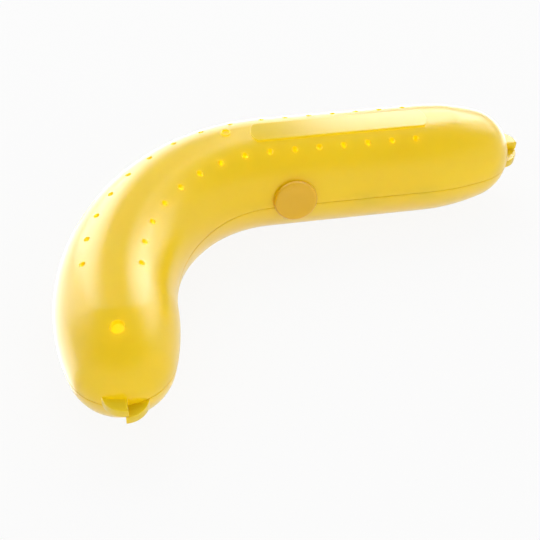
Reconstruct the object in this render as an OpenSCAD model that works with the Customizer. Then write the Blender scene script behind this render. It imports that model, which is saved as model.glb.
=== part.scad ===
// Banana carrying case: two hinged half shells, closed by a round flip latch on the inner side.
// The case lies on its lower crest with the seam level, +Z up and the long leg along +X.
// The spine is the centre line of the tube, followed from the short tip to the long tip.

/* [Tube] */
// Outside radius of the round section
tube_r = 25; // [22:0.5:30]
// Depth of the flat cut along each crest
crest_cut = 1.4; // [0.8:0.1:2.5]
// Wall thickness of both shells
wall = 2; // [1.6:0.1:3]
// Gap between the two seam faces
seam_gap = 0.3; // [0.2:0.05:0.6]

/* [Plan] */
// Length of the short leg, nose included
short_leg = 44; // [44:1:90]
// Length over which the short leg narrows to its tip
short_nose = 44; // [36:1:44]
// Radius of the short leg's tip
short_tip_r = 21.5; // [15:0.5:22]
// Spine radius of the bend next to the short leg
bend_1_r = 83; // [70:1:130]
// Spine radius of the bend next to the long leg
bend_2_r = 69; // [55:1:110]
// Angle of the bend next to the long leg; the other bend makes up the right angle between the legs
bend_2_angle = 36; // [30:1:50]
// Length of the long leg, nose included
long_leg = 118; // [105:1:160]
// Length over which the long leg narrows to its tip
long_nose = 45; // [36:1:60]
// Radius of the long leg's tip
long_tip_r = 21.5; // [15:0.5:22]

/* [Vents] */
// Diameter of one vent
vent_d = 2.6; // [1.5:0.1:4]
// Distance of each vent row from the spine, seen from above
vent_offset = 11.6; // [10.5:0.1:14]
// Length of the bend before its first pair of vents
vent_start = 9.5; // [0:0.5:30]
// Steps between vents round the inner row of the bend
inner_vent_steps = 8; // [4:1:10]
// Steps between vents round the outer row of the bend
outer_vent_steps = 9; // [5:1:12]
// Pairs of vents on the long leg
leg_vents = 6; // [2:1:7]
// Distance between pairs of vents on the long leg
leg_vent_pitch = 11.2; // [8:0.1:14]

/* [Crest details] */
// Diameter of the hang hole
hang_hole_d = 5.4; // [4:0.1:8]
// Distance of the hang hole from the short tip
hang_hole_station = 20; // [16:0.5:40]
// Length of the raised plate on the long leg
plate_length = 82; // [40:1:90]
// Width of the raised plate
plate_width = 12; // [8:0.5:13]
// Height of the raised plate above the crest
plate_height = 0.6; // [0.3:0.1:1.2]
// Radius of the plate's bowed ends
plate_end_r = 9; // [7:0.5:20]
// Place of the plate's middle along the long leg
plate_middle = 34; // [20:1:60]
// Outside diameter of the round gate mark
gate_d = 4.6; // [3:0.1:6]
// Width and height of the gate mark's ring
gate_ring = 0.5; // [0.3:0.05:0.8]
// Distance of the gate mark before the end of the bend
gate_before_leg = 17; // [12:1:30]
// Distance of the gate mark from the spine, towards the outer side
gate_offset = 4; // [0:0.1:5]

/* [Tip lugs] */
// Radius of the round lug at each tip
lug_r = 9; // [6:0.5:11]
// Reach of the lug past the tip
lug_reach = 5.4; // [2:0.2:7]
// Thickness of each half lug above or below the seam
lug_height = 4.2; // [2:0.2:5]
// Reach of each half lug past the lug's middle, seen from above
lug_overlap = 0.6; // [0:0.1:1.5]

/* [Locating tabs] */
// Place of the first tab along the long leg
tab_1_place = 43; // [30:1:50]
// Place of the second tab along the long leg
tab_2_place = 71; // [60:1:85]
// Width of a tab along the seam
tab_width = 8; // [4:0.5:14]
// Thickness of a tab
tab_thickness = 1.4; // [1:0.1:2]
// Height of a tab above the seam
tab_height = 3; // [1.5:0.1:4]
// Depth of a tab's root below the seam
tab_root = 4; // [2:0.5:6]
// Clearance between a tab and the upper shell's wall
tab_clearance = 0.4; // [0.3:0.05:1]

/* [Hinge] */
// Outside radius of the hinge knuckles
knuckle_r = 3; // [2.4:0.1:4]
// Number of knuckles, an odd number
knuckle_count = 5; // [3:2:7]
// Length of one knuckle
knuckle_length = 10.4; // [8:0.2:14]
// Gap between two knuckles
knuckle_gap = 0.4; // [0.3:0.05:0.8]
// Place of the hinge's first end along the long leg
hinge_start = 5; // [0:1:15]
// Clearance between a knuckle and the other shell's wall
hinge_clearance = 0.4; // [0.3:0.05:0.8]
// Diameter of the hinge pin
hinge_pin_d = 2.5; // [1.8:0.1:3.5]
// Radial clearance of a pin in its bore
pin_clearance = 0.05; // [0.02:0.01:0.1]

/* [Latch] */
// Diameter of the round latch
latch_d = 19.6; // [17:0.2:26]
// Thickness of the latch
latch_thickness = 2.4; // [2.2:0.1:5]
// Rounding of the latch's front rim
latch_rim_r = 0.8; // [0.3:0.1:1.2]
// Place of the latch's middle along the long leg
latch_place = 9.5; // [6:0.5:30]
// Angle from the seam up to the latch's middle, round the tube
latch_tilt = 9; // [0:1:12]
// Clearance between the latch's back and the shells
latch_clearance = 0.4; // [0.3:0.05:0.8]
// Distance of the latch's axis below the latch's middle
latch_axis_drop = 8.3; // [8:0.1:8.6]
// Outside radius of the latch's knuckle and ears
latch_knuckle_r = 1.5; // [1.4:0.05:1.6]
// Width of the latch's knuckle
latch_knuckle_width = 4.4; // [3:0.1:6]
// Width of each ear beside it
latch_ear_width = 2.4; // [1.6:0.1:3]
// Side and turning clearance of the latch in its ears
latch_turn_clearance = 0.35; // [0.3:0.05:0.5]
// Diameter of the latch pin
latch_pin_d = 1.5; // [1.2:0.05:1.6]
// Radius of the bead on the upper shell that the latch closes over
catch_bead_r = 0.6; // [0.3:0.05:0.7]
// Length of the bead
catch_bead_length = 8; // [4:0.5:12]
// Height of the bead above the latch's middle
catch_bead_height = 5; // [3:0.5:7]

/* [Hidden] */
$fn = 96;
cut = 1;
shell_yellow = [0.96, 0.80, 0.16];
latch_amber = [0.88, 0.66, 0.15];
pin_yellow = [0.93, 0.76, 0.2];

// Plan: the long leg starts at the origin, and the bends turn back from there to the short leg
crest_h = tube_r - crest_cut;
turn = 90;
bend_1_angle = turn - bend_2_angle;
bend_1_length = bend_1_r * bend_1_angle * PI / 180;
bend_2_length = bend_2_r * bend_2_angle * PI / 180;
bend_start = short_leg;
bend_change = bend_start + bend_1_length;
leg_start = bend_change + bend_2_length;
change_angle = 90 + bend_2_angle;
bend_2_centre = [0, -bend_2_r];
bend_1_centre = bend_2_centre + (bend_2_r - bend_1_r) * ray(change_angle);
short_tip = bend_1_centre + bend_1_r * ray(90 + turn) - short_leg * ray(turn);

// Frame: the origin is under the middle of the whole case's box, on the surface that it lies on
hinge_y = tube_r + knuckle_r + hinge_clearance;
hinge_length = knuckle_count * knuckle_length + (knuckle_count - 1) * knuckle_gap;
box_low_x = bend_1_centre[0] - bend_1_r - tube_r;
box_high_x = long_leg + lug_reach;
box_low_y = short_tip[1] - lug_reach;
box_high_y = hinge_y + knuckle_r;
frame_origin = [(box_low_x + box_high_x) / 2, (box_low_y + box_high_y) / 2, -crest_h];

// Latch before it is turned up round the tube: its back lies just outside the shells, its axis behind that
latch_back_y = -(tube_r + latch_clearance);
latch_axis = [latch_place, latch_back_y + latch_clearance / 2, -latch_axis_drop];
latch_turn_r = latch_knuckle_r + latch_turn_clearance;
ear_inner_x = latch_knuckle_width / 2 + latch_turn_clearance;
ear_outer_x = ear_inner_x + latch_ear_width;

function ray(a) = [cos(a), sin(a)];

// Point of the spine at a distance from the short tip, and the heading of the spine there
function spine(s) =
    s < bend_start ? [short_tip + s * ray(turn), turn] :
    s < bend_change ? bend_point(bend_1_centre, bend_1_r, turn - (s - bend_start) / bend_1_r * 180 / PI) :
    s < leg_start ? bend_point(bend_2_centre, bend_2_r, (leg_start - s) / bend_2_r * 180 / PI) :
    [[s - leg_start, 0], 0];
function bend_point(centre, r, heading) = [centre + r * ray(90 + heading), heading];

// Radius of the arc that narrows a nose from the tube to its tip, to a hundredth of a millimetre
function shoulder_r(nose, tip_r) =
    round(50 * (pow(nose - tip_r, 2) + tube_r * tube_r - tip_r * tip_r) / (tube_r - tip_r)) / 100;

// Distance of the round tip's centre from the start of its nose, where it meets that arc without a step
function tip_distance(tip_r, r) = sqrt((tube_r - tip_r) * (2 * r - tube_r - tip_r));

// Outside radius of the long leg at a place along it
function leg_r(place) =
    let (r = shoulder_r(long_nose, long_tip_r), along = max(0, place - long_leg + long_nose))
        tube_r - r + sqrt(r * r - along * along);

// Distance of a round wall from its centre line at a height from the seam plane
function wall_offset(r, height) = sqrt(r * r - height * height);

// Moves children by a round vector and then by its remainder, so that neighbouring faces meet exactly
module move_exactly(vector) {
    rough = [for (value = vector) round(value * 1000) / 1000];
    translate(rough)
        translate(vector - rough)
            children();
}

// Moves children from the plan's frame to the part's frame
module in_frame() {
    translate(-frame_origin)
        children();
}

// Puts children on the spine: X runs along it, and Y points to the outer side of the bend
module on_spine(s, offset = 0) {
    place = spine(s);
    translate(place[0])
        rotate(place[1])
            translate([0, offset, 0])
                children();
}

// Half outline of a nose for a revolve: a long shoulder arc that runs into a round tip
module nose_profile(nose, tip_r, inset) {
    r = shoulder_r(nose, tip_r);
    tip_centre = [0, tip_distance(tip_r, r)];
    meeting = tip_centre[1] * (r - inset) / (r - tip_r);
    intersection() {
        translate([tube_r - r, 0])
            circle(r - inset, $fn = 360);
        square([tube_r, meeting]);
    }
    intersection() {
        move_exactly(tip_centre)
            circle(tip_r - inset);
        translate([0, meeting])
            square([tube_r, tip_r]);
    }
}

// Upper half of a nose along +X, shrunk by an inset, from a base height up to the flat crest
module half_nose(nose, tip_r, inset, base) {
    intersection() {
        rotate([0, 90, 0])
            rotate_extrude()
                nose_profile(nose, tip_r, inset);
        translate([-cut, -tube_r, base])
            cube([nose + 2 * cut, 2 * tube_r, crest_h - inset - base]);
    }
}

module nose_shell(nose, tip_r) {
    difference() {
        half_nose(nose, tip_r, 0, seam_gap / 2);
        half_nose(nose, tip_r, wall, -cut);
    }
}

// Upper half of the tube's section: X points to the outer side of the bend, Y up from the seam
module half_section(inset, base) {
    intersection() {
        circle(tube_r - inset);
        translate([-tube_r, base])
            square([2 * tube_r, crest_h - inset - base]);
    }
}

module wall_section() {
    difference() {
        half_section(0, seam_gap / 2);
        half_section(wall, -cut);
    }
}

module straight_shell(length) {
    rotate([90, 0, 90])
        linear_extrude(length)
            wall_section();
}

module bend_shell(r, start_angle, angle) {
    rotate_extrude(start = start_angle, angle = angle, $fn = 240)
        translate([r, 0])
            wall_section();
}

// The bend next to the long leg, the long leg and its nose
module long_side() {
    straight = long_leg - long_nose;
    translate(bend_2_centre)
        bend_shell(bend_2_r, 90, bend_2_angle);
    straight_shell(straight);
    translate([straight, 0, 0])
        nose_shell(long_nose, long_tip_r);
}

// The bend next to the short leg, the short leg and its nose
module short_side() {
    straight = short_leg - short_nose;
    move_exactly(bend_1_centre) {
        bend_shell(bend_1_r, change_angle, bend_1_angle);
        translate([-bend_1_r, 0, 0])
            rotate(-turn) {
                if (straight > 0)
                    straight_shell(straight);
                translate([straight, 0, 0])
                    nose_shell(short_nose, short_tip_r);
            }
    }
}

// Bare half shell above the seam
module half_shell() {
    union() {
        long_side();
        short_side();
    }
}

// One half of the round lug at both tips: on the outer side for the upper shell, the inner for the lower
module half_lugs(side) {
    on_spine(0)
        rotate(180)
            half_lug(-side, short_nose, short_tip_r);
    on_spine(leg_start + long_leg)
        half_lug(side, long_nose, long_tip_r);
}

// Half a lug past a tip at the origin, on one side of the X axis, rooted in the middle of the wall
module half_lug(side, nose, tip_r) {
    difference() {
        intersection() {
            translate([lug_reach - lug_r, 0, seam_gap / 2])
                cylinder(r = lug_r, h = lug_height - seam_gap / 2);
            translate([-lug_r, side > 0 ? -lug_overlap : lug_overlap - 2 * lug_r, 0])
                cube([3 * lug_r, 2 * lug_r, lug_height]);
        }
        translate([-nose, 0, 0])
            half_nose(nose, tip_r, wall / 2, -cut);
    }
}

// Vents through the crest wall, drilled straight up and down
module vents() {
    bend_run = leg_start - bend_start - vent_start;
    for (step = [0 : inner_vent_steps])
        vent(bend_start + vent_start + bend_run * step / inner_vent_steps, -vent_offset);
    for (step = [0 : outer_vent_steps])
        vent(bend_start + vent_start + bend_run * step / outer_vent_steps, vent_offset);
    for (pair = [1 : leg_vents])
        for (row = [-vent_offset, vent_offset])
            vent(leg_start + pair * leg_vent_pitch, row);
}

module vent(s, offset) {
    on_spine(s, offset)
        crest_hole(vent_d);
}

module crest_hole(d) {
    translate([0, 0, tube_r / 2])
        cylinder(d = d, h = tube_r);
}

// Knuckles of one shell: even ones from the first end belong to the lower shell
module knuckles(side) {
    first = side > 0 ? 1 : 0;
    for (index = [first : 2 : knuckle_count - 1])
        translate([hinge_start + index * (knuckle_length + knuckle_gap), hinge_y, 0])
            knuckle(side);
}

// A knuckle round the hinge axis, with the web that joins it to its shell
module knuckle(side) {
    web_width = hinge_y - tube_r + wall / 2;
    rotate([0, 90, 0])
        cylinder(r = knuckle_r, h = knuckle_length);
    translate([0, -web_width, side > 0 ? seam_gap / 2 : -knuckle_r])
        cube([knuckle_length, web_width, knuckle_r - seam_gap / 2]);
}

module hinge_bore() {
    translate([hinge_start - cut, hinge_y, 0])
        rotate([0, 90, 0])
            cylinder(d = hinge_pin_d + 2 * pin_clearance, h = hinge_length + 2 * cut);
}

module plate() {
    translate([plate_middle, 0, crest_h - wall / 2])
        linear_extrude(wall / 2 + plate_height)
            intersection() {
                square([plate_length, plate_width], center = true);
                union() {
                    for (end = [-1, 1])
                        translate([end * (plate_length / 2 - plate_end_r), 0])
                            circle(plate_end_r);
                    square([plate_length - 2 * plate_end_r, plate_width], center = true);
                }
            }
}

module gate_mark() {
    on_spine(leg_start - gate_before_leg, gate_offset)
        translate([0, 0, crest_h - wall / 2])
            difference() {
                cylinder(d = gate_d, h = wall / 2 + gate_ring);
                translate([0, 0, wall / 2])
                    cylinder(d = gate_d - 2 * gate_ring, h = gate_ring + cut);
            }
}

// Turns children that belong to the latch up round the tube
module at_latch() {
    rotate([-latch_tilt, 0, 0])
        children();
}

// Bead on the upper shell's inner side, behind the latch
module catch_bead() {
    translate([
        latch_place - catch_bead_length / 2,
        -wall_offset(tube_r, catch_bead_height),
        catch_bead_height
    ])
        rotate([0, 90, 0])
            cylinder(r = catch_bead_r, h = catch_bead_length);
}

// Tabs inside the lower shell's wall that reach up into the upper shell
module locating_tabs() {
    for (place = [tab_1_place, tab_2_place])
        translate([place - tab_width / 2, 0, 0])
            locating_tab(leg_r(place + tab_width / 2));
}

// One tab inside a wall of the given outside radius, and the root that joins it to the wall
module locating_tab(r) {
    face_y = tab_clearance - wall_offset(r - wall, tab_height);
    root_y = wall / 2 - wall_offset(r, tab_root);
    translate([0, face_y, -tab_root])
        cube([tab_width, tab_thickness, tab_root + tab_height]);
    translate([0, root_y, -tab_root])
        cube([tab_width, face_y - root_y + tab_thickness / 2, tab_root - seam_gap / 2]);
}

// The two ears on the lower shell that carry the latch pin
module latch_ears() {
    web_width = wall + latch_clearance;
    translate(latch_axis)
        for (x = [-ear_outer_x, ear_inner_x]) {
            translate([x, 0, 0])
                rotate([0, 90, 0])
                    cylinder(r = latch_knuckle_r, h = latch_ear_width);
            translate([x, 0, 0])
                cube([latch_ear_width, web_width, latch_knuckle_r]);
        }
}

// A round bar on the latch axis, centred on the latch
module latch_bar(r, length) {
    translate(latch_axis)
        rotate([0, 90, 0])
            cylinder(r = r, h = length, center = true);
}

module latch_disc_profile() {
    disc_r = latch_d / 2;
    square([disc_r, latch_thickness - latch_rim_r]);
    square([disc_r - latch_rim_r, latch_thickness]);
    translate([disc_r - latch_rim_r, latch_thickness - latch_rim_r])
        circle(latch_rim_r);
}

module upper_shell() {
    color(shell_yellow)
        in_frame()
            difference() {
                union() {
                    half_shell();
                    half_lugs(1);
                    plate();
                    gate_mark();
                    at_latch()
                        catch_bead();
                    knuckles(1);
                }
                vents();
                on_spine(hang_hole_station)
                    crest_hole(hang_hole_d);
                hinge_bore();
            }
}

module lower_shell() {
    color(shell_yellow)
        in_frame()
            difference() {
                union() {
                    mirror([0, 0, 1]) {
                        half_shell();
                        half_lugs(-1);
                    }
                    knuckles(-1);
                    at_latch()
                        latch_ears();
                    locating_tabs();
                }
                mirror([0, 0, 1])
                    vents();
                hinge_bore();
                at_latch() {
                    latch_bar(latch_turn_r, latch_knuckle_width + 2 * latch_turn_clearance);
                    latch_bar(latch_pin_d / 2 + pin_clearance, 2 * ear_outer_x + 2 * cut);
                }
            }
}

module hinge_pin() {
    color(pin_yellow)
        in_frame()
            translate([hinge_start, hinge_y, 0])
                rotate([0, 90, 0])
                    cylinder(d = hinge_pin_d, h = hinge_length);
}

module latch() {
    color(latch_amber)
        in_frame()
            at_latch()
                difference() {
                    union() {
                        translate([latch_place, latch_back_y, 0])
                            rotate([90, 0, 0])
                                rotate_extrude()
                                    latch_disc_profile();
                        latch_bar(latch_knuckle_r, latch_knuckle_width);
                    }
                    for (side = [-1, 1])
                        translate([side * (latch_knuckle_width / 2 + latch_d / 2), 0, 0])
                            latch_bar(latch_turn_r, latch_d);
                    latch_bar(latch_pin_d / 2 + pin_clearance, latch_d);
                }
}

module latch_pin() {
    color(pin_yellow)
        in_frame()
            at_latch()
                latch_bar(latch_pin_d / 2, 2 * ear_outer_x);
}

upper_shell();
lower_shell();
hinge_pin();
latch();
latch_pin();
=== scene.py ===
"""Dresses the frame of a banana carrying case: moulded half shells, latch and pins in satin plastic.

Shapes are made in millimetres in the plan's frame, where the long leg starts at the origin and runs along
+X, and the seam is at z = 0. finished() moves them to the CAD frame, in metres.
"""
from math import acos, asin, atan2, cos, pi, radians, sin, sqrt

import bmesh
import bpy
from mathutils import Matrix, Vector


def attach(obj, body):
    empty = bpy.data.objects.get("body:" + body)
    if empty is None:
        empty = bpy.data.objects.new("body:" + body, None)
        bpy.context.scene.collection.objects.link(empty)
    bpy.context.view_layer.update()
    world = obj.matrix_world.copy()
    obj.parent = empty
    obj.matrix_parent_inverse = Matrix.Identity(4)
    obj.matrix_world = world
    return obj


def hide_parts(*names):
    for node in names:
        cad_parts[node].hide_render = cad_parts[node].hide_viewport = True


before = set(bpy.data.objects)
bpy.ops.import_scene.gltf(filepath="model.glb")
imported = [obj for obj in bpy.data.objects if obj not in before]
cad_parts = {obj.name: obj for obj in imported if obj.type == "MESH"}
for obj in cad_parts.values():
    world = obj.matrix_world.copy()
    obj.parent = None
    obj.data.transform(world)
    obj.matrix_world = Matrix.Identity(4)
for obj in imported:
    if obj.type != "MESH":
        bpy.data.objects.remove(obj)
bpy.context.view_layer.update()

MM = 0.001

# Tube: RIDGE_R rounds the edges of the flat crest, and RIM_R those of the seam faces
TUBE_R = 25.0
CREST_CUT = 1.4
CREST_H = TUBE_R - CREST_CUT
WALL = 2.0
SEAM_GAP = 0.3
HALF_SEAM = SEAM_GAP / 2
RIDGE_R = 22.0
RIM_R = 0.08

# Plan: the two bends make a right angle
SHORT_LEG = 44.0
SHORT_NOSE = 44.0
SHORT_TIP_R = 21.5
BEND_1_R = 83.0
BEND_2_R = 69.0
BEND_2_ANGLE = radians(36)
BEND_1_ANGLE = pi / 2 - BEND_2_ANGLE
LONG_LEG = 118.0
LONG_NOSE = 45.0
LONG_TIP_R = 21.5

# Vents and crest details
VENT_D = 2.6
VENT_OFFSET = 11.6
VENT_START = 9.5
INNER_VENT_STEPS = 8
OUTER_VENT_STEPS = 9
LEG_VENTS = 6
LEG_VENT_PITCH = 11.2
HANG_HOLE_D = 5.4
HANG_HOLE_STATION = 20.0
PLATE_LENGTH = 82.0
PLATE_WIDTH = 12.0
PLATE_HEIGHT = 0.6
PLATE_END_R = 9.0
PLATE_EDGE_R = 0.3
PLATE_MIDDLE = 34.0
GATE_D = 4.6
GATE_RING = 0.5
GATE_BEFORE_LEG = 17.0
GATE_OFFSET = 4.0

# Tip lugs and locating tabs
LUG_R = 9.0
LUG_REACH = 5.4
LUG_HEIGHT = 4.2
LUG_OVERLAP = 0.6
LUG_SEAM_EDGE_R = 0.3
LUG_EDGE_R = 0.5
TAB_PLACES = (43.0, 71.0)
TAB_WIDTH = 8.0
TAB_THICKNESS = 1.4
TAB_HEIGHT = 3.0
TAB_ROOT = 4.0
TAB_CLEARANCE = 0.4
TAB_FOOT_EDGE_R = 0.3
TAB_TOP_EDGE_R = 0.5
TAB_ROOT_TOP_EDGE_R = 0.2

# Hinge
KNUCKLE_R = 3.0
KNUCKLE_COUNT = 5
KNUCKLE_LENGTH = 10.4
KNUCKLE_GAP = 0.4
KNUCKLE_EDGE_R = 0.3
HINGE_START = 5.0
HINGE_CLEARANCE = 0.4
HINGE_Y = TUBE_R + KNUCKLE_R + HINGE_CLEARANCE
HINGE_LENGTH = KNUCKLE_COUNT * KNUCKLE_LENGTH + (KNUCKLE_COUNT - 1) * KNUCKLE_GAP
HINGE_PIN_R = 1.25
HINGE_PIN_END_R = 0.4
PIN_CLEARANCE = 0.05

# Latch
LATCH_R = 9.8
LATCH_THICKNESS = 2.4
LATCH_BACK_EDGE_R = 0.3
LATCH_RIM_R = 1.1
LATCH_DISH = 0.5
LATCH_DISH_POLE_R = 0.6
LATCH_PLACE = 9.5
LATCH_TILT = radians(9)
LATCH_TURN = Matrix.Rotation(-LATCH_TILT, 4, "X")
LATCH_CLEARANCE = 0.4
LATCH_BACK_Y = -TUBE_R - LATCH_CLEARANCE
LATCH_AXIS_DROP = 8.3
LATCH_AXIS = Vector((LATCH_PLACE, LATCH_BACK_Y + LATCH_CLEARANCE / 2, -LATCH_AXIS_DROP))
LATCH_KNUCKLE_R = 1.5
LATCH_KNUCKLE_WIDTH = 4.4
LATCH_KNUCKLE_EDGE_R = 0.2
LATCH_TURN_CLEARANCE = 0.35
LATCH_TURN_R = LATCH_KNUCKLE_R + LATCH_TURN_CLEARANCE
LATCH_PIN_R = 0.75
LATCH_PIN_END_R = 0.25
EAR_WIDTH = 2.4
EAR_EDGE_R = 0.25
EAR_WEB_LOW = 0.05
EAR_INNER_X = LATCH_KNUCKLE_WIDTH / 2 + LATCH_TURN_CLEARANCE
EAR_OUTER_X = EAR_INNER_X + EAR_WIDTH
BEAD_R = 0.6
BEAD_LENGTH = 8.0
BEAD_HEIGHT = 5.0
BEAD_END_R = 0.5

# Fineness of the meshes: towards a tip, the wall's rings end where the inner one's radius is POLE_R
STATION_STEP = 1.25
POLE_R = 1.5
ARC_STEPS = 88
RIM_STEPS = 3
FILLET_STEPS = 4
ROUND_STEPS = 48
PLATE_END_STEPS = 24
GATE_TOP_STEPS = 8
LUG_STEPS = 32
LUG_ROOT_STEPS = 16
LATCH_DISH_STEPS = 8
LATCH_DISH_FALL_STEPS = 5
SHARP_ANGLE = radians(35)

# Lugs and eyes stay this far inside their true circle, as the flat facets of the solids do
FACET = 0.03

# Reach of a bore past the pieces that it cuts
CUT = 1.0

# Stations and centres that follow from the plan
BEND_START = SHORT_LEG
BEND_CHANGE = BEND_START + BEND_1_R * BEND_1_ANGLE
LEG_START = BEND_CHANGE + BEND_2_R * BEND_2_ANGLE
LONG_TIP = LEG_START + LONG_LEG


def ray(angle):
    return Vector((cos(angle), sin(angle)))


BEND_2_CENTRE = Vector((0.0, -BEND_2_R))
BEND_1_CENTRE = BEND_2_CENTRE + (BEND_2_R - BEND_1_R) * ray(pi / 2 + BEND_2_ANGLE)
SHORT_TIP = BEND_1_CENTRE + Vector((-BEND_1_R, -SHORT_LEG))
BOX_LOW = Vector((BEND_1_CENTRE.x - BEND_1_R - TUBE_R, SHORT_TIP.y - LUG_REACH))
BOX_HIGH = Vector((LONG_LEG + LUG_REACH, HINGE_Y + KNUCKLE_R))
ORIGIN = ((BOX_LOW + BOX_HIGH) / 2).to_3d() - Vector((0, 0, CREST_H))


def spine(s):
    """Point of the spine at a distance from the short tip, and its heading there."""
    if s < BEND_START:
        return SHORT_TIP + Vector((0, s)), pi / 2
    if s < BEND_CHANGE:
        heading = pi / 2 - (s - BEND_START) / BEND_1_R
        return BEND_1_CENTRE + BEND_1_R * ray(pi / 2 + heading), heading
    if s < LEG_START:
        heading = (LEG_START - s) / BEND_2_R
        return BEND_2_CENTRE + BEND_2_R * ray(pi / 2 + heading), heading
    return Vector((s - LEG_START, 0)), 0.0


def on_spine(s, offset=0.0):
    """Matrix with X along the spine and Y to the outer side of the bend."""
    point, heading = spine(s)
    turn = Matrix.Rotation(heading, 4, "Z")
    return Matrix.Translation(point.to_3d()) @ turn @ Matrix.Translation((0, offset, 0))


def wall_offset(r, height):
    """Distance of a round wall from the spine's upright plane, at a height above or below the seam."""
    return sqrt(r * r - height * height)


# Half shells


def shoulder_radius(nose, tip_r):
    """Radius of a nose's long arc, which is level with the tube and runs into the round tip."""
    return ((nose - tip_r) ** 2 + TUBE_R**2 - tip_r**2) / (2 * (TUBE_R - tip_r))


def nose_stations(tip_s, side, nose, tip_r):
    """Stations from a nose's base to its tip: (place on the spine, side, tilt of the wall, radius)."""
    shoulder_r = shoulder_radius(nose, tip_r)
    tip_distance = nose - tip_r
    turn = asin(tip_distance / (shoulder_r - tip_r))
    last = acos(POLE_R / (tip_r - WALL))
    base_s = tip_s - side * nose
    stations = []
    steps = round(shoulder_r * turn / STATION_STEP)
    for k in range(1, steps + 1):
        tilt = turn * k / steps
        along = shoulder_r * sin(tilt)
        stations.append((base_s + side * along, side, tilt, TUBE_R - shoulder_r + shoulder_r * cos(tilt)))
    steps = round(tip_r * (last - turn) / STATION_STEP)
    for k in range(1, steps + 1):
        tilt = turn + (last - turn) * k / steps
        stations.append((base_s + side * (tip_distance + tip_r * sin(tilt)), side, tilt, tip_r * cos(tilt)))
    return stations


def shell_stations():
    """All stations from the short tip to the long one."""
    start = SHORT_NOSE
    end = LONG_TIP - LONG_NOSE
    steps = round((end - start) / STATION_STEP)
    tube = [(start + (end - start) * k / steps, 0, 0.0, TUBE_R) for k in range(steps + 1)]
    short = nose_stations(0.0, -1, SHORT_NOSE, SHORT_TIP_R)
    return short[::-1] + tube + nose_stations(LONG_TIP, 1, LONG_NOSE, LONG_TIP_R)


def section_reach(r, psi, depth):
    """Distance of the wall from the spine at an angle from straight up.

    The section is a circle with a flat crest, and an arc on each side rounds the flat into the circle.
    """
    crest = CREST_H - depth
    ridge = RIDGE_R - depth
    if r <= crest:
        return r
    psi = abs(psi)
    flat = sqrt((r - ridge) ** 2 - (crest - ridge) ** 2)
    if psi >= atan2(flat, crest - ridge):
        return r
    if psi <= atan2(flat, crest):
        return crest / cos(psi)
    along = flat * sin(psi) + (crest - ridge) * cos(psi)
    return along + sqrt(along**2 - flat**2 - (crest - ridge) ** 2 + ridge**2)


def wall_point(station, depth, psi):
    """Point of the wall at a depth below its outer surface and an angle from straight up."""
    s, side, tilt, r = station
    reach = section_reach(r - depth * cos(tilt), psi, depth)
    return on_spine(s - side * depth * sin(tilt)) @ Vector((0, reach * sin(psi), reach * cos(psi)))


def wall_arc(station, depth):
    """Points of the wall from one rim over the crest to the other."""
    limit = acos((HALF_SEAM + RIM_R) / (station[3] - depth * cos(station[2])))
    return [wall_point(station, depth, limit * (2 * k / ARC_STEPS - 1)) for k in range(ARC_STEPS + 1)]


def wall_rim(station, side):
    """Rounded edges of the seam face, from the outer arc to the inner one."""
    turns = [pi / 2 * k / RIM_STEPS for k in range(1, RIM_STEPS + 1)]
    outer = [(RIM_R * (1 - cos(turn)), HALF_SEAM + RIM_R * (1 - sin(turn))) for turn in turns]
    inner = [(WALL - depth, height) for depth, height in reversed(outer)]
    return [
        wall_point(station, depth, side * acos(height / (station[3] - depth * cos(station[2]))))
        for depth, height in outer + inner
    ]


def half_shell():
    """Closed mesh of the bare wall above the seam."""
    mesh = bmesh.new()
    loops = []
    for station in shell_stations():
        outer, inner = wall_arc(station, 0.0), wall_arc(station, WALL)
        points = outer + wall_rim(station, 1) + inner[::-1] + wall_rim(station, -1)[::-1]
        loops.append([mesh.verts.new(point) for point in points])
    bridge(mesh, loops)
    # Each tip is closed by a face within either arc and by strips between the rims of its two sides
    arc, rim = ARC_STEPS + 1, 2 * RIM_STEPS
    for loop in (loops[0], loops[-1]):
        mesh.faces.new(loop[:arc])
        mesh.faces.new(loop[arc + rim:2 * arc + rim])
        right = loop[arc - 1:arc + rim + 1]
        left = [loop[0]] + loop[:2 * arc + rim - 2:-1]
        for k in range(rim + 1):
            mesh.faces.new((right[k], right[k + 1], left[k + 1], left[k]))
    bmesh.ops.recalc_face_normals(mesh, faces=mesh.faces)
    return mesh


def bridge(mesh, loops):
    """Quads between each loop of vertices and the next."""
    for low, high in zip(loops, loops[1:]):
        for k in range(len(low)):
            j = (k + 1) % len(low)
            mesh.faces.new((low[k], low[j], high[j], high[k]))


# Solids that are added to a shell or cut from it


def rounded(bottom, top, bottom_r, top_r):
    """(height, inset) of the sections of a solid with rounded ends."""
    turns = [pi / 2 * k / FILLET_STEPS for k in range(FILLET_STEPS + 1)]
    low = [(bottom + bottom_r * (1 - sin(turn)), bottom_r * (1 - cos(turn))) for turn in reversed(turns)]
    high = [(top - top_r * (1 - sin(turn)), top_r * (1 - cos(turn))) for turn in turns]
    return (low if bottom_r else [(bottom, 0.0)]) + (high if top_r else [(top, 0.0)])


def prism(outline, sections, matrix):
    """Closed solid through sections of an outline, which is a function of its inset."""
    mesh = bmesh.new()
    loops = []
    for height, inset in sections:
        loops.append([mesh.verts.new(matrix @ Vector((a, b, height))) for a, b in outline(inset)])
    bridge(mesh, loops)
    mesh.faces.new(loops[0])
    mesh.faces.new(loops[-1])
    bmesh.ops.recalc_face_normals(mesh, faces=mesh.faces)
    return mesh


def arc_points(r, start, end, steps=ROUND_STEPS, centre=(0.0, 0.0)):
    angles = [start + (end - start) * k / steps for k in range(steps + 1)]
    return [(centre[0] + r * cos(angle), centre[1] + r * sin(angle)) for angle in angles]


def disc(r):
    """Outline of a disc."""
    return lambda inset: arc_points(r - inset, 0, 2 * pi)[:-1]


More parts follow.
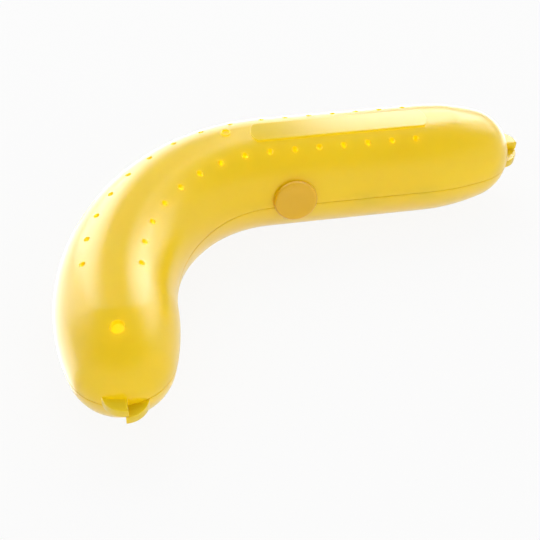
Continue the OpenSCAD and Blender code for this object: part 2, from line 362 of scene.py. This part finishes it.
def rectangle(width, depth):
    """Outline of a rectangle from the origin."""
    return lambda i: [(i, i), (width - i, i), (width - i, depth - i), (i, depth - i)]


def along_x(x, y, z):
    """Matrix for a prism that runs along +X: its outline's axes point to +Y and +Z."""
    return Matrix.Translation((x, y, z)) @ Matrix(((0, 0, 1, 0), (1, 0, 0, 0), (0, 1, 0, 0), (0, 0, 0, 1)))


def plate():
    """The raised plate on the long leg's crest, with bowed ends."""

    def outline(inset):
        half_width = PLATE_WIDTH / 2 - inset
        end_r = PLATE_END_R - inset
        centre = PLATE_LENGTH / 2 - PLATE_END_R
        bow = asin(half_width / end_r)
        right = arc_points(end_r, -bow, bow, PLATE_END_STEPS, (centre, 0))
        left = arc_points(end_r, pi - bow, pi + bow, PLATE_END_STEPS, (-centre, 0))
        return right + left

    sections = rounded(CREST_H - WALL / 2, CREST_H + PLATE_HEIGHT, 0, PLATE_EDGE_R)
    return prism(outline, sections, Matrix.Translation((PLATE_MIDDLE, 0, 0)))


def gate_mark():
    """A low ring with a rounded top."""
    mesh = bmesh.new()
    matrix = on_spine(LEG_START - GATE_BEFORE_LEG, GATE_OFFSET)
    middle_r = (GATE_D - GATE_RING) / 2
    half = GATE_RING / 2
    low = CREST_H - WALL / 2
    top = CREST_H + GATE_RING - half
    round_top = [(middle_r + a, top + b) for a, b in arc_points(half, 0, pi, GATE_TOP_STEPS)]
    profile = [(middle_r + half, low)] + round_top + [(middle_r - half, low)]
    loops = [
        [mesh.verts.new(matrix @ Vector((r * cos(angle), r * sin(angle), z))) for r, z in profile]
        for angle in (2 * pi * k / ROUND_STEPS for k in range(ROUND_STEPS))
    ]
    bridge(mesh, loops + loops[:1])
    bmesh.ops.recalc_face_normals(mesh, faces=mesh.faces)
    return mesh


def half_lugs(side):
    """The half lugs of one shell at both tips, rooted in the middle of the wall."""
    sections = rounded(HALF_SEAM, LUG_HEIGHT, LUG_SEAM_EDGE_R, LUG_EDGE_R)
    short = on_spine(0.0) @ Matrix.Rotation(pi, 4, "Z")
    return [
        prism(lug_outline(-side, SHORT_TIP_R), sections, short),
        prism(lug_outline(side, LONG_TIP_R), sections, on_spine(LONG_TIP)),
    ]


def lug_outline(side, tip_r):
    """Half a disc past a tip at the origin, cut back to the middle of the round wall behind it."""
    root_r = tip_r - WALL / 2
    lug_x = LUG_REACH - LUG_R

    def outline(inset):
        r = LUG_R - FACET - inset
        base = inset - LUG_OVERLAP
        span = lug_x + tip_r
        meet = acos((r * r + span * span - root_r * root_r) / (2 * r * span))
        outer = arc_points(r, asin(base / r), pi - meet, LUG_STEPS, (lug_x, 0))
        meet_angle = atan2(outer[-1][1], outer[-1][0] + tip_r)
        inner = arc_points(root_r, meet_angle, asin(base / root_r), LUG_ROOT_STEPS, (-tip_r, 0))
        return [(x, side * y) for x, y in outer + inner[1:]]

    return outline


def vents():
    """Cutters of the two rows of vents, round the bend and along the long leg."""
    bend_run = LEG_START - BEND_START - VENT_START
    places = []
    for steps, offset in ((INNER_VENT_STEPS, -VENT_OFFSET), (OUTER_VENT_STEPS, VENT_OFFSET)):
        places += [(BEND_START + VENT_START + bend_run * k / steps, offset) for k in range(steps + 1)]
    for pair in range(1, LEG_VENTS + 1):
        places += [(LEG_START + pair * LEG_VENT_PITCH, offset) for offset in (-VENT_OFFSET, VENT_OFFSET)]
    return [crest_hole(s, offset, VENT_D) for s, offset in places]


def crest_hole(s, offset, d):
    """Upright round cutter, from inside the tube to well above its crest."""
    return prism(disc(d / 2), rounded(TUBE_R / 2, 1.5 * TUBE_R, 0, 0), on_spine(s, offset))


def eye_outline(r, web_width, web_low):
    """A round eye at the origin with a web to its left, whose upper side is level with the eye's top."""

    def outline(inset):
        eye_r = r - FACET - inset
        low = web_low + inset
        foot = asin(low / eye_r)
        return [(-web_width, eye_r), (-web_width, low)] + arc_points(eye_r, pi - foot, 2 * pi + pi / 2)

    return outline


def knuckles(side):
    """Knuckles of one shell, as the upper shell has them: every second one belongs to the lower shell."""
    web_width = HINGE_Y - TUBE_R + WALL / 2
    first = 1 if side > 0 else 0
    return [
        prism(
            eye_outline(KNUCKLE_R, web_width, HALF_SEAM),
            rounded(0, KNUCKLE_LENGTH, KNUCKLE_EDGE_R, KNUCKLE_EDGE_R),
            along_x(HINGE_START + index * (KNUCKLE_LENGTH + KNUCKLE_GAP), HINGE_Y, 0),
        )
        for index in range(first, KNUCKLE_COUNT, 2)
    ]


def hinge_bore():
    matrix = along_x(HINGE_START - CUT, HINGE_Y, 0)
    return prism(disc(HINGE_PIN_R + PIN_CLEARANCE), rounded(0, HINGE_LENGTH + 2 * CUT, 0, 0), matrix)


def catch_bead():
    """Low bead on the upper shell that the latch closes over."""
    y = -wall_offset(TUBE_R, BEAD_HEIGHT)
    matrix = LATCH_TURN @ along_x(LATCH_PLACE - BEAD_LENGTH / 2, y, BEAD_HEIGHT)
    return prism(disc(BEAD_R), rounded(0, BEAD_LENGTH, BEAD_END_R, BEAD_END_R), matrix)


def leg_r(place):
    """Outside radius of the long leg at a place along it."""
    shoulder_r = shoulder_radius(LONG_NOSE, LONG_TIP_R)
    along = max(0.0, place - LONG_LEG + LONG_NOSE)
    return TUBE_R - shoulder_r + sqrt(shoulder_r**2 - along**2)


def locating_tabs():
    """Tabs that reach up from the lower shell, each with a root in the wall. The root is a separate solid."""
    tabs, roots = [], []
    for place in TAB_PLACES:
        r = leg_r(place + TAB_WIDTH / 2)
        face_y = TAB_CLEARANCE - wall_offset(r - WALL, TAB_HEIGHT)
        root_y = WALL / 2 - wall_offset(r, TAB_ROOT)
        x = place - TAB_WIDTH / 2
        tabs.append(prism(
            rectangle(TAB_WIDTH, TAB_THICKNESS),
            rounded(-TAB_ROOT, TAB_HEIGHT, TAB_FOOT_EDGE_R, TAB_TOP_EDGE_R),
            Matrix.Translation((x, face_y, 0)),
        ))
        roots.append(prism(
            rectangle(TAB_WIDTH, face_y - root_y + TAB_THICKNESS / 2),
            rounded(-TAB_ROOT, -HALF_SEAM, TAB_FOOT_EDGE_R, TAB_ROOT_TOP_EDGE_R),
            Matrix.Translation((x, root_y, 0)),
        ))
    return tabs, roots


def latch_ears():
    """Two ears on the lower shell, one on each side of the latch's knuckle, with their webs in the wall."""
    web_width = WALL + LATCH_CLEARANCE
    flip = Matrix.Scale(-1, 4, (1, 0, 0))
    return [
        prism(
            eye_outline(LATCH_KNUCKLE_R, web_width, EAR_WEB_LOW),
            rounded(0, EAR_WIDTH, EAR_EDGE_R, EAR_EDGE_R),
            LATCH_TURN @ along_x(LATCH_AXIS.x + x, LATCH_AXIS.y, LATCH_AXIS.z) @ flip,
        )
        for x in (-EAR_OUTER_X, EAR_INNER_X)
    ]


def latch_bar(r, length, end_r=0.0, x=0.0):
    """A round bar on the latch's axis."""
    matrix = LATCH_TURN @ along_x(LATCH_AXIS.x + x - length / 2, LATCH_AXIS.y, LATCH_AXIS.z)
    return prism(disc(r), rounded(0, length, end_r, end_r), matrix)


def latch_disc():
    """The round button: a rounded rim and a faintly dished face."""
    facing = LATCH_TURN @ Matrix.Translation((LATCH_PLACE, LATCH_BACK_Y, 0)) @ Matrix.Rotation(pi / 2, 4, "X")
    sections = rounded(0, LATCH_THICKNESS, LATCH_BACK_EDGE_R, LATCH_RIM_R)
    face_r = LATCH_R - LATCH_RIM_R
    for k in range(1, LATCH_DISH_STEPS + 1):
        fall = LATCH_DISH * (1 - cos(pi * min(1, k / LATCH_DISH_FALL_STEPS))) / 2
        inset = LATCH_RIM_R + (face_r - LATCH_DISH_POLE_R) * k / LATCH_DISH_STEPS
        sections.append((LATCH_THICKNESS - fall, inset))
    return prism(disc(LATCH_R), sections, facing)


# From solids to finished pieces


def scratch_object(meshes):
    """One object of closed meshes for the boolean steps, which combined() removes again."""
    data = bpy.data.meshes.new("scratch")
    joined = bmesh.new()
    for mesh in meshes:
        mesh.to_mesh(data)
        joined.from_mesh(data)
        mesh.free()
    joined.to_mesh(data)
    joined.free()
    made = bpy.data.objects.new("scratch", data)
    bpy.context.collection.objects.link(made)
    return made


def combined(body, steps):
    """Mesh of a body after boolean steps, each an operation and a list of meshes."""
    target = scratch_object([body])
    tools = []
    for operation, meshes in steps:
        tool = scratch_object(meshes)
        modifier = target.modifiers.new(operation, "BOOLEAN")
        modifier.operation = operation
        modifier.solver = "MANIFOLD"
        modifier.object = tool
        tools.append(tool)
    graph = bpy.context.evaluated_depsgraph_get()
    data = bpy.data.meshes.new_from_object(target.evaluated_get(graph))
    for made in [target] + tools:
        old = made.data
        bpy.data.objects.remove(made)
        bpy.data.meshes.remove(old)
    return data


def finished(name, data, material, body):
    """Adds the piece that stands for the CAD node of its name."""
    data.name = name
    data.transform(Matrix.Scale(MM, 4) @ Matrix.Translation(-ORIGIN))
    data.shade_smooth()
    data.set_sharp_from_angle(angle=SHARP_ANGLE)
    data.materials.clear()
    data.materials.append(material)
    piece = bpy.data.objects.new(name + "_moulded", data)
    bpy.context.collection.objects.link(piece)
    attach(piece, body)
    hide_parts(name)


def mirrored(meshes):
    """The same meshes below the seam."""
    for mesh in meshes:
        bmesh.ops.scale(mesh, vec=(1, 1, -1), verts=mesh.verts)
        bmesh.ops.reverse_faces(mesh, faces=mesh.faces)
    return meshes


# Materials: a noise is given by its scale and detail

CLOUD_NOISE = (28.0, 3.0)
CLOUD_RANGE = (0.35, 0.65)
GLOSS_NOISE = (160.0, 2.0)
GLOSS_SPREAD = 0.02
GRAIN_NOISE = (2600.0, 1.0)
GRAIN_STRENGTH = 0.08
GRAIN_DEPTH = 0.0001


def plastic(name, colours, roughness, subsurface, scatter):
    """Satin moulded plastic: cloudy colour, uneven gloss, fine grain and light that scatters in the wall."""
    material = bpy.data.materials.new(name)
    material.use_nodes = True
    nodes, links = material.node_tree.nodes, material.node_tree.links
    shader = nodes["Principled BSDF"]
    place = nodes.new("ShaderNodeTexCoord").outputs["Object"]

    def noise(scale, detail):
        node = nodes.new("ShaderNodeTexNoise")
        node.inputs["Scale"].default_value = scale
        node.inputs["Detail"].default_value = detail
        links.new(place, node.inputs["Vector"])
        return node.outputs["Fac"]

    ramp = nodes.new("ShaderNodeValToRGB")
    for element, position, colour in zip(ramp.color_ramp.elements, CLOUD_RANGE, colours):
        element.position = position
        element.color = (*colour, 1)
    links.new(noise(*CLOUD_NOISE), ramp.inputs["Fac"])
    links.new(ramp.outputs["Color"], shader.inputs["Base Color"])

    gloss = nodes.new("ShaderNodeMapRange")
    gloss.inputs["To Min"].default_value = roughness - GLOSS_SPREAD
    gloss.inputs["To Max"].default_value = roughness + GLOSS_SPREAD
    links.new(noise(*GLOSS_NOISE), gloss.inputs["Value"])
    links.new(gloss.outputs["Result"], shader.inputs["Roughness"])

    bump = nodes.new("ShaderNodeBump")
    bump.inputs["Strength"].default_value = GRAIN_STRENGTH
    bump.inputs["Distance"].default_value = GRAIN_DEPTH
    links.new(noise(*GRAIN_NOISE), bump.inputs["Height"])
    links.new(bump.outputs["Normal"], shader.inputs["Normal"])

    shader.subsurface_method = "BURLEY"
    shader.inputs["IOR"].default_value = 1.49
    shader.inputs["Specular IOR Level"].default_value = 0.35
    shader.inputs["Coat Weight"].default_value = 0.5
    shader.inputs["Coat Roughness"].default_value = 0.28
    shader.inputs["Subsurface Weight"].default_value = subsurface
    shader.inputs["Subsurface Scale"].default_value = scatter
    shader.inputs["Subsurface Radius"].default_value = (1.0, 0.9, 0.2)
    return material


yellow = plastic(
    "yellow_plastic",
    colours=((0.88, 0.62, 0.002), (0.90, 0.65, 0.004)),
    roughness=0.30,
    subsurface=1.0,
    scatter=0.003,
)
amber = plastic(
    "amber_plastic",
    colours=((0.86, 0.47, 0.004), (0.89, 0.51, 0.006)),
    roughness=0.34,
    subsurface=0.7,
    scatter=0.0012,
)
pin_yellow = plastic(
    "pin_plastic",
    colours=((0.87, 0.60, 0.010), (0.89, 0.64, 0.014)),
    roughness=0.38,
    subsurface=0.5,
    scatter=0.0010,
)


# Pieces

upper = combined(half_shell(), (
    ("UNION", half_lugs(1) + [plate(), gate_mark(), catch_bead()] + knuckles(1)),
    ("DIFFERENCE", vents() + [crest_hole(HANG_HOLE_STATION, 0, HANG_HOLE_D), hinge_bore()]),
))
finished("upper_shell", upper, yellow, "lid")

tabs, roots = locating_tabs()
lower = combined(mirrored([half_shell()])[0], (
    ("UNION", mirrored(half_lugs(-1) + knuckles(-1)) + latch_ears() + roots),
    ("UNION", tabs),
    ("DIFFERENCE", mirrored(vents()) + [hinge_bore()]),
    ("DIFFERENCE", [latch_bar(LATCH_TURN_R, LATCH_KNUCKLE_WIDTH + 2 * LATCH_TURN_CLEARANCE)]),
    ("DIFFERENCE", [latch_bar(LATCH_PIN_R + PIN_CLEARANCE, 2 * EAR_OUTER_X + 2 * CUT)]),
))
finished("lower_shell", lower, yellow, "base")

relief_x = LATCH_KNUCKLE_WIDTH / 2 + LATCH_R
latch = combined(latch_disc(), (
    ("UNION", [latch_bar(LATCH_KNUCKLE_R, LATCH_KNUCKLE_WIDTH, LATCH_KNUCKLE_EDGE_R)]),
    ("DIFFERENCE", [latch_bar(LATCH_TURN_R, 2 * LATCH_R, x=side * relief_x) for side in (-1, 1)]),
    ("DIFFERENCE", [latch_bar(LATCH_PIN_R + PIN_CLEARANCE, 2 * LATCH_R)]),
))
finished("latch", latch, amber, "latch")

hinge_sections = rounded(0, HINGE_LENGTH, HINGE_PIN_END_R, HINGE_PIN_END_R)
hinge_pin = combined(prism(disc(HINGE_PIN_R), hinge_sections, along_x(HINGE_START, HINGE_Y, 0)), ())
finished("hinge_pin", hinge_pin, pin_yellow, "base")

latch_pin = combined(latch_bar(LATCH_PIN_R, 2 * EAR_OUTER_X, LATCH_PIN_END_R), ())
finished("latch_pin", latch_pin, pin_yellow, "base")


# Floor, light and camera: in metres, apart from the lens and its sensor

CAMERA_PLACE = MM * (Vector((-74.2, -356.6, 306.7)) - ORIGIN)
CAMERA_AIM = MM * (Vector((-9.0, -63.1, 0.0)) - ORIGIN)
CAMERA_ROLL = radians(2.702)
CAMERA_LENS = 67.8
CAMERA_SENSOR = 36.0
FLOOR_SIZE = 6.0
FLOOR_GREY = 0.85
FLOOR_GLOW = 0.9

# The world dims from its first strength to its second between these heights of a direction's unit vector
DOME_HEIGHTS = (0.3, 0.7)
DOME_STRENGTHS = (1.0, 0.35)

# Name, azimuth and elevation in degrees, width, height and radiance
SOFTBOXES = (
    ("back_softbox", -15, 50, 1.2, 0.7, 1.3),
    ("front_softbox", 150, 30, 1.0, 0.7, 0.9),
)
CARDS = (
    ("side_card", -65, 20, 0.42, 0.80, 2.0),
    ("left_card", -39, 23, 0.46, 0.72, 5.4),
    ("back_card", -11, 8, 0.52, 0.34, 1.8),
    ("right_card", 18, 30, 0.54, 0.54, 5.8),
    ("far_right_card", 45, 28, 0.46, 0.54, 2.6),
)

# Name, low and high corner and radiance
FLOOR_CARDS = (
    ("left_floor_card", Vector((-0.6, -0.055)), Vector((-0.115, 0.6)), 2.0),
    ("back_floor_card", Vector((-0.115, 0.09)), Vector((0.3, 0.6)), 2.0),
)
FLOOR_CARD_LIFT = 0.0005

# Lamps inside the case
GLOW_LAMPS = 9
GLOW_LAMP_R = 0.008
GLOW_WATTS = 0.007
GLOW_COLOUR = (0.86, 1.0, 0.5)


def looking(place, aim, roll=0.0):
    """Matrix of a camera or light at a place that looks at a point."""
    turn = (aim - place).to_track_quat("-Z", "Y").to_matrix().to_4x4()
    return Matrix.Translation(place) @ turn @ Matrix.Rotation(roll, 4, "Z")


def background_ray(tree):
    """1 where the camera, a reflection or a refraction sees the background, 0 where it lights the object."""
    path = tree.nodes.new("ShaderNodeLightPath")
    total = path.outputs["Is Camera Ray"]
    for name in ("Is Glossy Ray", "Is Transmission Ray"):
        either = tree.nodes.new("ShaderNodeMath")
        either.operation = "MAXIMUM"
        tree.links.new(total, either.inputs[0])
        tree.links.new(path.outputs[name], either.inputs[1])
        total = either.outputs[0]
    return total


def floor_material():
    """Pale floor that keeps a soft shadow and is close to white for the camera."""
    material = bpy.data.materials.new("pale_floor")
    material.use_nodes = True
    tree = material.node_tree
    tree.nodes.clear()
    diffuse = tree.nodes.new("ShaderNodeBsdfDiffuse")
    diffuse.inputs["Color"].default_value = (FLOOR_GREY, FLOOR_GREY, FLOOR_GREY, 1)
    glow = tree.nodes.new("ShaderNodeEmission")
    share = tree.nodes.new("ShaderNodeMath")
    share.operation = "MULTIPLY"
    share.inputs[1].default_value = FLOOR_GLOW
    tree.links.new(background_ray(tree), share.inputs[0])
    mix = tree.nodes.new("ShaderNodeMixShader")
    tree.links.new(share.outputs[0], mix.inputs[0])
    tree.links.new(diffuse.outputs[0], mix.inputs[1])
    tree.links.new(glow.outputs[0], mix.inputs[2])
    output = tree.nodes.new("ShaderNodeOutputMaterial")
    tree.links.new(mix.outputs[0], output.inputs["Surface"])
    return material


def add_floor():
    mesh = bmesh.new()
    bmesh.ops.create_grid(mesh, x_segments=1, y_segments=1, size=FLOOR_SIZE / 2)
    data = bpy.data.meshes.new("floor")
    mesh.to_mesh(data)
    mesh.free()
    data.materials.append(floor_material())
    floor = bpy.data.objects.new("floor", data)
    bpy.context.collection.objects.link(floor)


def add_light(name, matrix, width, height, radiance, card):
    """Area light that the camera can't see.

    A card is seen in reflections alone, and a softbox isn't seen in them.
    """
    light = bpy.data.lights.new(name, "AREA")
    light.shape = "RECTANGLE"
    light.size = width
    light.size_y = height
    light.energy = radiance * pi * width * height
    lamp = bpy.data.objects.new(name, light)
    lamp.matrix_world = matrix
    lamp.visible_camera = False
    lamp.visible_diffuse = not card
    lamp.visible_glossy = card
    bpy.context.collection.objects.link(lamp)


def add_panel(name, azimuth, elevation, width, height, radiance, card):
    """Light a metre from the camera's aim.

    Azimuth is counted to the right from straight behind the object, as the camera sees it.
    """
    forward = (CAMERA_AIM - CAMERA_PLACE).to_2d()
    angle = atan2(forward.y, forward.x) - radians(azimuth)
    rise = radians(elevation)
    place = CAMERA_AIM + Vector((cos(angle) * cos(rise), sin(angle) * cos(rise), sin(rise)))
    add_light(name, looking(place, CAMERA_AIM), width, height, radiance, card)


def add_floor_card(name, low, high, radiance):
    """Card just above the floor between two corners, which shines upwards."""
    middle = ((low + high) / 2).to_3d() + Vector((0, 0, FLOOR_CARD_LIFT))
    facing_up = Matrix.Translation(middle) @ Matrix.Rotation(pi, 4, "X")
    size = high - low
    add_light(name, facing_up, size.x, size.y, radiance, card=True)


def add_inner_glow():
    """Small lamps along the spine, for the light that soaks through the walls."""
    for k in range(GLOW_LAMPS):
        point = spine(SHORT_LEG / 2 + (LONG_TIP - SHORT_LEG) * k / (GLOW_LAMPS - 1))[0]
        light = bpy.data.lights.new("inner_glow", "POINT")
        light.energy = GLOW_WATTS
        light.color = GLOW_COLOUR
        light.shadow_soft_size = GLOW_LAMP_R
        lamp = bpy.data.objects.new("inner_glow", light)
        lamp.location = MM * (point.to_3d() - ORIGIN)
        lamp.visible_camera = False
        bpy.context.collection.objects.link(lamp)


def add_world():
    """White surroundings that grow dimmer towards the top."""
    world = bpy.data.worlds.new("studio")
    bpy.context.scene.world = world
    world.use_nodes = True
    tree = world.node_tree
    background = tree.nodes["Background"]
    background.inputs["Color"].default_value = (1, 1, 1, 1)
    axes = tree.nodes.new("ShaderNodeSeparateXYZ")
    tree.links.new(tree.nodes.new("ShaderNodeTexCoord").outputs["Generated"], axes.inputs[0])
    dome = tree.nodes.new("ShaderNodeMapRange")
    dome.inputs["From Min"].default_value = DOME_HEIGHTS[0]
    dome.inputs["From Max"].default_value = DOME_HEIGHTS[1]
    dome.inputs["To Min"].default_value = DOME_STRENGTHS[0]
    dome.inputs["To Max"].default_value = DOME_STRENGTHS[1]
    tree.links.new(axes.outputs["Z"], dome.inputs["Value"])
    tree.links.new(dome.outputs["Result"], background.inputs["Strength"])


def add_camera():
    data = bpy.data.cameras.new("camera")
    data.lens = CAMERA_LENS
    data.sensor_width = CAMERA_SENSOR
    camera = bpy.data.objects.new("camera", data)
    camera.matrix_world = looking(CAMERA_PLACE, CAMERA_AIM, CAMERA_ROLL)
    bpy.context.collection.objects.link(camera)
    bpy.context.scene.camera = camera


add_floor()
add_world()
for softbox in SOFTBOXES:
    add_panel(*softbox, card=False)
for reflected_card in CARDS:
    add_panel(*reflected_card, card=True)
for floor_card in FLOOR_CARDS:
    add_floor_card(*floor_card)
add_inner_glow()
add_camera()
bpy.context.scene.view_settings.view_transform = "Standard"
